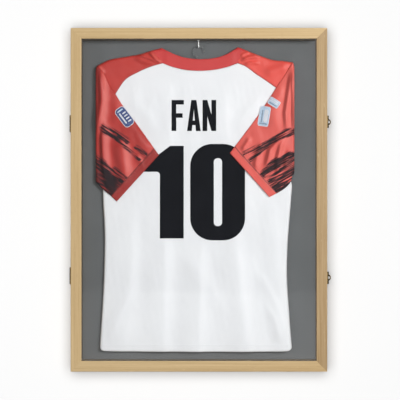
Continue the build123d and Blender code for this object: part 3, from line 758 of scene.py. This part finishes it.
back = torso("jersey_body_back", NECK_SEAM, body_depth, white, GRID_STEP)
hang(back, "white_jersey", "jersey_back_panel")
front = torso("jersey_body_front", FRONT_NECK_SEAM, lining_depth, white, 7.0)
hang(front, "white_jersey", "jersey_front_panel")


def nap_along(x, z, folds, strength):
    """Painted light over folds: 0.5 where flat, more (painted highlight) on their right side, which faces
    the key light, less (painted shade) on their left.
    """
    rise = (relief(x + 1.5, z, folds) - relief(x - 1.5, z, folds)) / 3.0
    return np.clip(0.5 - strength * rise, 0.0, 1.0)


# ---------------------------------------------------------------- raglan shoulders

SHOULDER_FOLDS = {
    -1: [
        ([(-86, 318), (-102, 331), (-120, 350)], 3.0, 4.5, 1.3),
        ([(-92, 320), (-114, 332), (-146, 342)], 3.0, 6.0, 1.1),
        ([(-96, 322), (-124, 324), (-156, 334)], 5.0, 7.0, 0.9),
        ([(-240, 318), (-232, 308), (-222, 297)], 4.0, 5.0, 1.1),
    ],
    1: [
        ([(97, 327), (118, 334), (146, 338)], 6.0, 3.5, 1.7),
        ([(104, 318), (124, 322), (146, 322)], 5.0, 3.0, 1.1),
        ([(96, 336), (108, 344), (122, 349)], 4.0, 4.0, 0.8),
        ([(150, 296), (184, 306), (216, 318)], 10.0, 12.0, 0.9),
    ],
}


def shoulder(side, name, depth_at, material, step, outward):
    """The red cloth between raglan seam and shoulder edge, and on down to where the sleeve folds over."""
    turn = FOLD_X[side] - side * TURN_RADIUS
    seam = joined([RAGLAN[side], ARMHOLE[side]], [int(120 / step), int(215 / step)])
    down = [SHOULDER[side][-1], (turn, SHOULDER[side][-1][1] - 14), (turn, 180), (turn, FOLD_LOW[side])]
    outer = joined([SHOULDER[side], down], [int(120 / step), int(215 / step)])
    neck_end = smooth_line([RAGLAN[side][0], SHOULDER[side][0]], int(40 / step))
    arm_end = smooth_line([ARMHOLE[side][-1], (turn, FOLD_LOW[side])], int(40 / step))
    grid = between_edges(seam, outer, neck_end, arm_end)
    x, z = grid[..., 0], grid[..., 1]
    _, from_shoulder, _ = nearest(x, z, smooth_line(SHOULDER[side], 40))
    _, from_seam, _ = nearest(x, z, seam)
    creases = 3.8 * relief(x, z, SHOULDER_FOLDS[side]) + 0.4 * ripple(x, z, 31 + side, 30.0, 0.9, 1.0)
    depth = depth_at(x, z) + outward * (creases * eased(from_seam / 6.0) + 0.25)
    depth = seam_depth + (depth - seam_depth) * rounded(from_shoulder, SHOULDER_ROLL)
    # Painted highlight and painted shade over the shoulder's creases
    nap = nap_along(x, z, SHOULDER_FOLDS[side], 2.2)
    if side * outward > 0:
        grid, depth, nap = grid[:, ::-1], depth[:, ::-1], nap[:, ::-1]
    return cloth(name, grid, depth, material, KNIT_THICKNESS, nap=nap)


for side, word, red in ((-1, "left", red_plain_left), (1, "right", red_plain_right)):
    outer_cloth = shoulder(side, f"jersey_shoulder_back_{word}", body_depth, red, 1.9, 1.0)
    inner_cloth = shoulder(side, f"jersey_shoulder_front_{word}", lining_depth, red, 6.0, -1.0)
    for piece in (outer_cloth, inner_cloth):
        hang(piece, "red_jersey")


# ---------------------------------------------------------------- collar

def collar(name, low, high, depth_at, outward):
    """A doubled ribbed band along the neck: a thin closed loop of cloth with a rounded top."""
    count, around = len(low), 10
    width = np.linalg.norm(high - low, axis=1)
    loop = np.linspace(0, 2 * math.pi, 2 * around, endpoint=False)
    height = 0.5 - 0.5 * np.cos(loop)
    bulge = np.sin(loop)
    grid = low[None] + (high - low)[None] * height[:, None, None]
    inward = np.minimum(grid[..., 0] - NECK_TOP[0][0], NECK_TOP[-1][0] - grid[..., 0])
    free = eased(inward / 16.0)
    base = depth_at(grid[..., 0], grid[..., 1]) + outward * (0.35 + 0.55 * free)
    lean_in = (1 - free) * (1 - rounded((1 - height[:, None]) * width, 6.0))
    base = base + (seam_depth - base) * lean_in
    rolls = 0.35 * np.sin(np.linspace(0, 5 * math.pi, count))[None] * height[:, None]
    round_side = (np.sign(bulge) * np.abs(bulge) ** 0.6)[:, None]
    depth = base + outward * round_side * (0.3 + 0.45 * free) + rolls * free
    if outward > 0:
        grid, depth = grid[::-1], depth[::-1]
    return cloth(name, grid, depth, red_rib, 0.5, closed=True)


stretches = (14, 88, 14)
seam, top = joined(COLLAR_SEAM, stretches), joined(COLLAR_TOP, stretches)
collar_back = collar("jersey_collar_back", seam, top, body_depth, 1.0)
seam, top = smooth_line(FRONT_NECK_SEAM, 96), smooth_line(FRONT_NECK_TOP, 96)
collar_front = collar("jersey_collar_front", seam, top, lining_depth, -1.0)
hang(collar_back, "red_jersey", "jersey_collar")
hang(collar_front, "red_jersey")


# ---------------------------------------------------------------- sleeves, folded in over the chest

SLEEVE_FOLDS = {
    -1: [
        ([(-236, 350), (-231, 298), (-229, 234), (-236, 183), (-246, 130)], 13, 6, 2.7),
        ([(-219, 196), (-227, 150), (-226, 110), (-222, 60), (-212, 24)], 14, 5, 2.5),
        ([(-206, 292), (-194, 240), (-194, 200), (-202, 160)], 14, 14, 0.8),
        ([(-186, 165), (-182, 120), (-177, 80), (-170, 10)], 14, 20, 2.7),
        ([(-172, 226), (-146, 186), (-120, 150), (-92, 112)], 10, 34, 2.6),
        ([(-150, 110), (-136, 88), (-126, 66)], 5, 7, 1.0),
        ([(-222, 40), (-206, 26), (-190, 14)], 6, 8, 1.0),
    ],
    1: [
        ([(222, 318), (221, 262), (223, 200), (224, 150)], 5.0, 4.0, 2.0),
        ([(219, 316), (213, 266), (204, 205), (207, 150)], 8, 5.5, 2.1),
        ([(196, 300), (184, 250), (177, 205), (184, 150)], 15, 20, 1.6),
        ([(214, 160), (190, 142), (168, 118), (155, 66)], 9, 5.5, 2.1),
        ([(206, 150), (192, 126), (184, 92), (186, 50)], 8, 5.5, 2.3),
        ([(150, 140), (140, 112), (134, 84), (136, 60)], 7, 7, 1.7),
        ([(122, 150), (110, 128), (100, 112)], 6, 6, 1.2),
        ([(216, 120), (206, 96), (204, 66)], 6, 6, 1.6),
    ],
}

# Brush strokes of ink across the sleeves: line, half width, strength
SLEEVE_INK = {
    -1: [
        ([(-226, 170), (-212, 163), (-192, 154), (-170, 140)], 9.0, 1.25),
        ([(-222, 158), (-205, 149), (-188, 137), (-168, 119), (-141, 95)], 5.0, 1.10),
        ([(-146, 124), (-136, 114), (-122, 100)], 8.0, 1.00),
        ([(-243, 96), (-226, 82), (-208, 64), (-186, 44), (-174, 30)], 9.0, 1.25),
        ([(-198, 74), (-182, 62), (-166, 48)], 5.0, 1.0),
        ([(-234, 84), (-222, 60), (-206, 36), (-192, 18)], 14.0, 1.2),
        ([(-246, 52), (-228, 32), (-206, 14), (-190, 0)], 14.0, 1.5),
    ],
    1: [
        ([(228, 164), (206, 161), (186, 150), (160, 136), (134, 122), (106, 107)], 6.5, 1.15),
        ([(226, 152), (200, 150), (172, 134), (148, 116), (116, 90)], 5.5, 0.95),
        ([(226, 108), (204, 97), (188, 84), (172, 76), (150, 56)], 9.0, 1.15),
        ([(182, 94), (168, 84), (150, 62)], 6.0, 0.9),
        ([(226, 90), (214, 70), (198, 50), (176, 30)], 12.0, 1.2),
        ([(226, 66), (214, 44), (196, 30), (176, 19)], 9.0, 1.5),
        ([(212, 104), (190, 72), (168, 46)], 9.0, 0.9),
    ],
}


def inked(x, z, strokes):
    """How much ink the brush strokes leave at each place."""
    total = np.zeros(np.shape(x))
    for line, half_width, strength in strokes:
        _, away, _ = nearest(x, z, smooth_line(line, 30))
        total += strength * np.exp(-((away / half_width) ** 2))
    return total


def sleeve_layers(side, x, z, edges):
    """Depths of the sleeve's outer and inner layer where it lies on the chest, and its swell."""
    from_upper, from_lower, from_cuff = (nearest(x, z, edge)[1] for edge in edges)
    under = np.minimum(body_depth(x, z), viewer_panel + 2.5) + 1.75
    swell = rounded(from_upper, SLEEVE_ROLL) * rounded(from_lower, SLEEVE_ROLL)
    broad = eased(from_upper / 22.0 + 0.12) * eased(from_lower / 22.0 + 0.12)
    folds = 2.6 * relief(x, z, SLEEVE_FOLDS[side]) + 0.4 * ripple(x, z, 41 + side, 34.0, 0.2, 0.9)
    calm = 1 - 0.55 * eased((30.0 - from_cuff) / 14.0)
    cuff_band = eased((CUFF_DEPTH - from_cuff) / 1.6)
    over = under + 0.8 + swell * (1.2 + 0.2 * broad + folds * broad * calm) + 0.7 * cuff_band * swell
    return below_glass(over), under - 0.25 * cuff_band * swell, swell


def with_turn(side, x, z, over, under, swell):
    """Both layers, with the sleeve's turn from the far side of the jersey round to the chest before them."""
    columns = 10
    angle = np.linspace(math.pi, 0, columns, endpoint=False)[None]
    edge_x, edge_z, edge_swell = x[:, :1], z[:, :1], swell[:, :1]
    wide = side * TURN_RADIUS * (0.35 + 0.65 * edge_swell) * np.sin(angle)
    half = (1 - np.cos(angle)) / 2
    turn_z = np.repeat(edge_z, columns, axis=1)
    behind = seam_depth + (wall_panel - seam_depth) * edge_swell
    between = seam_depth + (body_depth(edge_x, edge_z) - seam_depth) * edge_swell
    layers = []
    for layer, far, share in ((over, behind, 1.0), (under, between, 0.45)):
        turn_depth = layer[:, :1] + (far - layer[:, :1]) * half
        grid = np.stack([np.hstack([edge_x + share * wide, x]), np.hstack([turn_z, z])], axis=-1)
        layers.append((grid, np.hstack([turn_depth, layer])))
    return layers


def sleeve(side, name, material):
    """A sleeve as one tube of cloth, which turns round its upright fold and lies across the chest."""
    along, around = 74, 96
    turn_x = FOLD_X[side] - side * TURN_RADIUS
    fold_top = INNER_EDGE[side][0][1]
    fold_line = smooth_line([(turn_x, FOLD_LOW[side]), (turn_x, fold_top)], around)
    upper = smooth_line([(turn_x, fold_top)] + INNER_EDGE[side][1:], along)
    lower = smooth_line([(turn_x, FOLD_LOW[side])] + LOWER_EDGE[side][1:], along)
    opening = smooth_line(CUFF[side], around)
    flat = between_edges(lower, upper, fold_line, opening)
    x, z = flat[..., 0], flat[..., 1]
    layers = sleeve_layers(side, x, z, (upper, lower, opening))
    (over_grid, over), (under_grid, under) = with_turn(side, x, z, *layers)
    grid = np.vstack([over_grid, under_grid[::-1]])
    depth = np.vstack([over, under[::-1]])

    x, z = grid[..., 0], grid[..., 1]
    # Painted highlight and painted shade over the sleeve's folds
    nap = nap_along(x, z, SLEEVE_FOLDS[side], 3.0)
    _, cuff_away, _ = nearest(x, z, opening)
    ink = np.where(cuff_away < CUFF_DEPTH + 0.8, 0.0, np.minimum(inked(x, z, SLEEVE_INK[side]), 1.7))
    cuff = eased((CUFF_DEPTH + 1.5 - cuff_away) / 3.0)
    if side > 0:
        grid, depth, ink, cuff, nap = (values[:, ::-1] for values in (grid, depth, ink, cuff, nap))
    return cloth(name, grid, depth, material, KNIT_THICKNESS, closed=True, ink=ink, cuff=cuff, nap=nap)


for side, word, red in ((-1, "left", red_left), (1, "right", red_right)):
    piece = sleeve(side, f"jersey_sleeve_{word}_cloth", red)
    hang(piece, "red_jersey", f"jersey_sleeve_{word}")


# ---------------------------------------------------------------- print, badges and stitching

def on_body(lift):
    """Depth of something that lies on the body's cloth, its middle at lift above the cloth's face."""
    return lambda x, z: body_depth(x, z) + KNIT_THICKNESS / 2 + lift


film = black_film()
for word in ("number", "name"):
    draped_print(f"{word}_film", f"{word}_print", on_body(0.2), film, "black_film")


def surface_of(piece):
    """Depth of a finished piece's viewer's side at given places, by looking at it from the front."""
    tree = BVHTree.FromObject(piece, bpy.context.evaluated_depsgraph_get())
    look, eye_depth = Vector((0, 1, 0)), 36.0

    def depth(x, z):
        eyes = [Vector((px, -eye_depth, pz)) * MM for px, pz in zip(np.ravel(x), np.ravel(z))]
        hits = [tree.ray_cast(eye, look)[0] for eye in eyes]
        found = np.array([np.nan if hit is None else -hit.y / MM for hit in hits])
        found = np.where(np.isnan(found), np.nanmin(found), found)
        return found.reshape(np.shape(x))

    return depth


def oval_outline(width, height, corner, count=96):
    """A rounded rectangle about the origin, as points that run anticlockwise."""
    reach_x, reach_z = width / 2 - corner, height / 2 - corner
    points = []
    for quarter, (right, up) in enumerate(((1, 1), (-1, 1), (-1, -1), (1, -1))):
        for angle in np.linspace(0, math.pi / 2, 10) + quarter * math.pi / 2:
            turn_x, turn_z = corner * math.cos(angle), corner * math.sin(angle)
            points.append((right * reach_x + turn_x, up * reach_z + turn_z))
    return resampled(np.array(points + points[:1]), count + 1)[:-1]


def turned(points, degrees, centre):
    """Points turned anticlockwise about the origin and moved to a centre."""
    angle = math.radians(degrees)
    x, z = np.asarray(points, float).T
    turned_x = x * math.cos(angle) - z * math.sin(angle)
    turned_z = x * math.sin(angle) + z * math.cos(angle)
    return np.stack([turned_x, turned_z], axis=-1) + centre


PATCH_THICKNESS = 0.5
PATCH_DOME = 0.35
PATCH_LIFT = 0.45
BAR_LIFT = 0.95
BORDER_RADIUS = 0.85


def patch_cloth(name, outline, depth, lift, material):
    """A filled outline on cloth: rings of points shrink to its middle, which is domed a little."""
    rings, centre = 9, outline.mean(axis=0)
    shares = np.linspace(1.0, 0.0, rings)[:-1]
    layers = [centre + (outline - centre) * share for share in shares]
    places = np.vstack([*layers, centre[None]])
    swell = np.concatenate([np.full(len(outline), 1 - share**4) for share in shares] + [[1.0]])
    out = depth(places[:, 0], places[:, 1]) + lift + PATCH_DOME * swell
    count = len(outline)
    neighbours = [(i, (i + 1) % count) for i in range(count)]
    last = (len(layers) - 1) * count
    faces = []
    for ring in range(0, last, count):
        inner = ring + count
        faces += [[ring + i, ring + j, inner + j, inner + i] for i, j in neighbours]
    faces += [[last + i, last + j, len(places) - 1] for i, j in neighbours]
    vertices = np.stack([places[:, 0], out, places[:, 1]], axis=-1)
    return thickened(mesh_object(name, vertices, faces, material), PATCH_THICKNESS)


def piping(name, outline, depth, lift, radius, material, closed=True):
    """An overlocked border: a thread-wound round bead along an outline."""
    count, around = len(outline), 8
    before, after = np.roll(outline, 1, axis=0), np.roll(outline, -1, axis=0)
    if not closed:
        before[0], after[-1] = outline[0], outline[-1]
    way = after - before
    way /= np.linalg.norm(way, axis=1)[:, None]
    normal = np.stack([-way[:, 1], way[:, 0]], axis=-1)
    out = depth(outline[:, 0], outline[:, 1]) + lift
    angle = np.linspace(0, 2 * math.pi, around, endpoint=False)
    wound = 1 + 0.10 * np.sin(np.arange(count) * 2.1)
    across = normal[None] * (np.cos(angle)[:, None, None] * radius * wound[None, :, None])
    rise = out[None] + np.sin(angle)[:, None] * radius * 0.7 * wound[None]
    places = outline[None] + across
    points = np.stack([places[..., 0], rise, places[..., 1]], axis=-1)
    if closed:
        points = np.concatenate([points, points[:, :1]], axis=1)
    columns = points.shape[1]
    faces = grid_faces(around, columns, closed=True)
    piece = mesh_object(name, points.reshape(-1, 3), faces, material)
    bm = bmesh.new()
    bm.from_mesh(piece.data)
    bmesh.ops.remove_doubles(bm, verts=bm.verts, dist=1e-6)
    if not closed:
        bmesh.ops.holes_fill(bm, edges=bm.edges, sides=around)
    bmesh.ops.recalc_face_normals(bm, faces=bm.faces)
    bm.to_mesh(piece.data)
    bm.free()
    return piece


navy = thread("navy_embroidery", (0.030, 0.062, 0.23), 0.6)
pale_blue = thread("pale_blue_embroidery", (0.52, 0.66, 0.84), -0.6)
slate = thread("slate_embroidery", (0.22, 0.30, 0.40), 0.2)
snow = thread("white_embroidery", (0.80, 0.82, 0.90), 0.9)

sleeve_surface = {}
for word in ("left", "right"):
    sleeve_surface[word] = surface_of(bpy.data.objects[f"jersey_sleeve_{word}_cloth"])


def badge(word, index, outline, ground, border, bars, slot, *replaced):
    """An embroidered badge: a ground, a wound border, and raised satin bars of given outlines."""
    depth = sleeve_surface[word]
    name = f"badge_{word}_{index}"
    hang(patch_cloth(f"{name}_ground", outline, depth, PATCH_LIFT, ground), slot, *replaced)
    hang(piping(f"{name}_border", outline, depth, PATCH_LIFT, BORDER_RADIUS, border), slot)
    for number, (bar, finish) in enumerate(bars):
        hang(patch_cloth(f"{name}_bar_{number}", bar, depth, BAR_LIFT, finish), slot)


def bar_at(width, height, place, degrees, centre):
    """A satin bar's outline: its place is in the badge's own directions, before the badge is turned."""
    return turned(oval_outline(width, height, min(width, height) / 2.2, 40) + place, degrees, centre)


def centre_of(node):
    """x and z of the middle of a CAD node, in millimetres."""
    low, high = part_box(node)
    return np.array([low.x + high.x, low.z + high.z]) / 2 / MM


LEFT_TILT = 37.0
left_centre = centre_of("sleeve_patch_left")
left_bars = [(bar_at(3.6, 30, (-5.4, -1), LEFT_TILT, left_centre), snow)]
left_bars += [(bar_at(9.5, 3.0, (4.6, z), LEFT_TILT, left_centre), snow) for z in (-14, -6.5, 1, 8.5)]
left_bars += [(bar_at(16, 3.4, (0, 18), LEFT_TILT, left_centre), pale_blue)]
badge("left", 1, turned(oval_outline(25, 49, 8), LEFT_TILT, left_centre), navy, snow, left_bars,
      "blue_patch", "sleeve_patch_left")

FLAG_TILT = -33.0
BLOCK_TILT = -9.0
flag_centre = centre_of("sleeve_patch_right") + (11.1, 20.8)
block_centre = centre_of("sleeve_patch_right") + (-11.9, -11.2)
flag_bars = [(bar_at(21, 2.6, (0, z), FLAG_TILT, flag_centre), snow) for z in (4.6, 0.4)]
flag_bars += [(bar_at(21, 2.0, (0, -4.6), FLAG_TILT, flag_centre), slate)]
badge("right", 1, turned(oval_outline(26, 17, 2.5), FLAG_TILT, flag_centre), pale_blue, snow, flag_bars,
      "pale_patch", "sleeve_patch_right")
block_bars = [(bar_at(2.6, 30, (-5.0, 0), BLOCK_TILT, block_centre), slate)]
block_bars += [(bar_at(10.0, 31, (3.8, 1), BLOCK_TILT, block_centre), snow)]
block_bars += [(bar_at(19, 2.4, (0, -17.5), BLOCK_TILT, block_centre), slate)]
badge("right", 2, turned(oval_outline(24, 46, 4), BLOCK_TILT, block_centre), pale_blue, snow, block_bars,
      "pale_patch")


def shifted(line, distance):
    """A line of x and z moved sideways, to the left of the way it runs."""
    way = np.gradient(line, axis=0)
    way /= np.linalg.norm(way, axis=1)[:, None]
    return line + np.stack([-way[:, 1], way[:, 0]], axis=-1) * distance


hem_line = np.array([(x, hem_z + HEM_DEPTH - 2.0) for x in np.linspace(-228, 214, 120)])
stitches("hem_stitches", [hem_line, hem_line - (0, 3.2)], on_body(0.42), white_thread, "white_jersey")
neck_line = smooth_line(NECK_SEAM, 80)
stitches("collar_stitches", [shifted(neck_line, -2.2)], on_body(0.1), white_thread, "white_jersey")
for side, word in ((-1, "left"), (1, "right")):
    raglan = smooth_line(RAGLAN[side], 60)
    away = shifted(raglan, side * 2.2)
    seam = piping(f"raglan_seam_{word}", raglan, on_body(0.15), 0.0, 0.75, red_thread, closed=False)
    hang(seam, "red_jersey")
    stitches(f"raglan_stitches_{word}", [away[2:-2]], on_body(0.3), red_thread, "red_jersey")
    cuff_line = smooth_line(CUFF[side], 40)
    rows = [shifted(cuff_line, -side * offset)[2:-2] for offset in (CUFF_DEPTH - 1.5, CUFF_DEPTH - 4.5)]
    stitches(f"cuff_stitches_{word}", rows, sleeve_surface[word], red_thread, "red_jersey")


# ---------------------------------------------------------------- camera, light and staging

def area_light(name, place, size, power):
    """A round white lamp that faces the middle of the frame."""
    data = bpy.data.lights.new(name, "AREA")
    data.shape = "DISK"
    data.size = size
    data.energy = power
    lamp = bpy.data.objects.new(name, data)
    lamp.location = place
    lamp.rotation_euler = (-Vector(place)).to_track_quat("-Z", "Y").to_euler()
    lamp.visible_camera = False
    bpy.context.scene.collection.objects.link(lamp)
    return lamp


def plain(name, corners, material):
    """A flat piece of the stage."""
    mesh = bpy.data.meshes.new(name)
    mesh.from_pydata(corners, [], [tuple(range(len(corners)))])
    made = shown(name, mesh, material)
    return made


def pale(name, tone, glow, see_through_back=False):
    """Plain matt grey that glows white a little, and that may be see-through from behind."""
    paint = Paint(name, Roughness=0.9, Base_Color=(tone, tone, tone, 1.0), Emission_Strength=glow)
    paint.surface.inputs["Emission Color"].default_value = (1.0, 1.0, 1.0, 1.0)
    if see_through_back:
        back_side = paint.node("NewGeometry").outputs["Backfacing"]
        clear = paint.node("BsdfTransparent").outputs["BSDF"]
        paint.show_mix(back_side, paint.surface.outputs["BSDF"], clear)
    return paint.material


low, high = cad_box
wall_y = high.y + 0.0006
floor_z = low.z - 0.35
wall = plain("wall", [(-3, wall_y, floor_z), (3, wall_y, floor_z), (3, wall_y, 3), (-3, wall_y, 3)],
             pale("pale_wall", 0.40, 0.02, True))
wall.visible_shadow = False
floor = plain("floor", [(-9, -9, floor_z), (9, -9, floor_z), (9, 9, floor_z), (-9, 9, floor_z)],
              pale("pale_floor", 0.30, 0.70))
floor.visible_diffuse = False
floor.visible_shadow = False


def all_but(name, *pieces):
    """A light-linking collection that stands for everything except those pieces."""
    left_out = bpy.data.collections.new(name)
    for piece in pieces:
        left_out.objects.link(piece)
    for member in left_out.collection_objects:
        member.light_linking.link_state = "EXCLUDE"
    return left_out


def keep_off(lamp, *pieces):
    """Stops a lamp from lighting those pieces, which still cast its shadows."""
    lamp.light_linking.receiver_collection = all_but(f"{lamp.name}_keeps_off", *pieces)


front_light = area_light("front_light", (0, -3.9, 0.2), 3.4, 54)
keep_off(front_light, wall, nodes["glazing"])
key_light = area_light("key_light", (1.7, -2.5, 0.7), 1.0, 73)
keep_off(key_light, wall)
near_side = [nodes[name] for name in ("box_rail_right", "door_rail_right", "glazing_bead_right")]
key_light.light_linking.blocker_collection = all_but("key_light_passes", *near_side)
rim_light = area_light("rim_light", (-2.4, -1.5, 0.1), 0.8, 9)
keep_off(rim_light, wall)
wall_light = area_light("wall_light", (-0.1, -3.9, 0.15), 5.2, 480)
only_wall = bpy.data.collections.new("lit_by_wall_light")
only_wall.objects.link(wall)
wall_light.light_linking.receiver_collection = only_wall
area_light("back_light", (-1.9, 2.6, 0.5), 1.6, 60)
area_light("back_fill", (2.2, 2.4, 0.3), 1.6, 25)

world = bpy.data.worlds.new("studio")
world.use_nodes = True
background = world.node_tree.nodes["Background"]
background.inputs["Color"].default_value = (1.0, 1.0, 1.0, 1.0)
light_path = world.node_tree.nodes.new("ShaderNodeLightPath")
strength = world.node_tree.nodes.new("ShaderNodeMapRange")
strength.inputs["To Min"].default_value = 0.16
strength.inputs["To Max"].default_value = 0.93
world.node_tree.links.new(light_path.outputs["Is Camera Ray"], strength.inputs["Value"])
world.node_tree.links.new(strength.outputs["Result"], background.inputs["Strength"])
bpy.context.scene.world = world
bpy.context.scene.view_settings.view_transform = "Standard"

VIEWING_DISTANCE = 3.6
CAMERA_X, CAMERA_Z = 0.00245, -0.0005
camera_data = bpy.data.cameras.new("camera")
camera_data.sensor_width = 36.0
camera_data.lens = 138.6
camera = bpy.data.objects.new("camera", camera_data)
camera.location = (CAMERA_X, low.y - VIEWING_DISTANCE, CAMERA_Z)
camera.rotation_euler = (math.radians(90), 0, 0)
bpy.context.scene.collection.objects.link(camera)
bpy.context.scene.camera = camera
